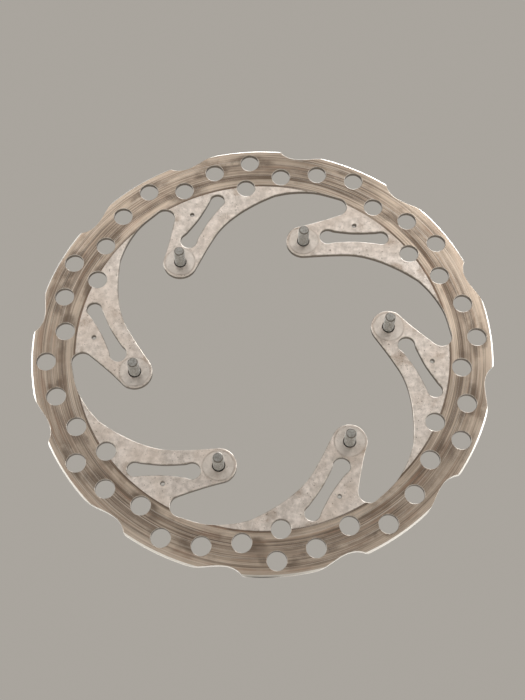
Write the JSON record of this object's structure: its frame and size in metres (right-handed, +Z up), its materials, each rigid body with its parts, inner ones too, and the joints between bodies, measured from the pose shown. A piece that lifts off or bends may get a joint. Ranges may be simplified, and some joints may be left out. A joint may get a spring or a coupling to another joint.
{
  "type": "motorcycle brake disc rotor",
  "caption": "Wave-edged motorcycle brake disc with round vent holes and slotted, swept-back arms that end in bolt lugs, with its hub bolts, each of which draws out along its own axis.",
  "frame": {"origin": "centre of the disc: on the spin axis, at half the disc's thickness", "axes": "+Y is the spin axis and points away from the hub, out through the bolt heads; -Y faces the hub; +Z is up with the wheel upright; X lies in the disc's plane"},
  "size_m": [0.25, 0.022, 0.25],
  "materials": {
    "disc_steel": "worn stainless steel, scored along the swept band, bead-blasted and stained on the arms",
    "bolt_steel": "dull zinc plating with worn edges and dirt in the threads"
  },
  "bodies": {
    "disc": {"brake_disc": "disc_steel"},
    "bolt_1": {"disc_bolt_1": "bolt_steel"},
    "bolt_2": {"disc_bolt_2": "bolt_steel"},
    "bolt_3": {"disc_bolt_3": "bolt_steel"},
    "bolt_4": {"disc_bolt_4": "bolt_steel"},
    "bolt_5": {"disc_bolt_5": "bolt_steel"},
    "bolt_6": {"disc_bolt_6": "bolt_steel"}
  },
  "joints": [
    {"name": "bolt_1_draw", "type": "slide", "parent": "disc", "child": "bolt_1", "axis": [0, 1, 0], "range_m": [0, 0.02]},
    {"name": "bolt_2_draw", "type": "slide", "parent": "disc", "child": "bolt_2", "axis": [0, 1, 0], "range_m": [0, 0.02]},
    {"name": "bolt_3_draw", "type": "slide", "parent": "disc", "child": "bolt_3", "axis": [0, 1, 0], "range_m": [0, 0.02]},
    {"name": "bolt_4_draw", "type": "slide", "parent": "disc", "child": "bolt_4", "axis": [0, 1, 0], "range_m": [0, 0.02]},
    {"name": "bolt_5_draw", "type": "slide", "parent": "disc", "child": "bolt_5", "axis": [0, 1, 0], "range_m": [0, 0.02]},
    {"name": "bolt_6_draw", "type": "slide", "parent": "disc", "child": "bolt_6", "axis": [0, 1, 0], "range_m": [0, 0.02]}
  ]
}
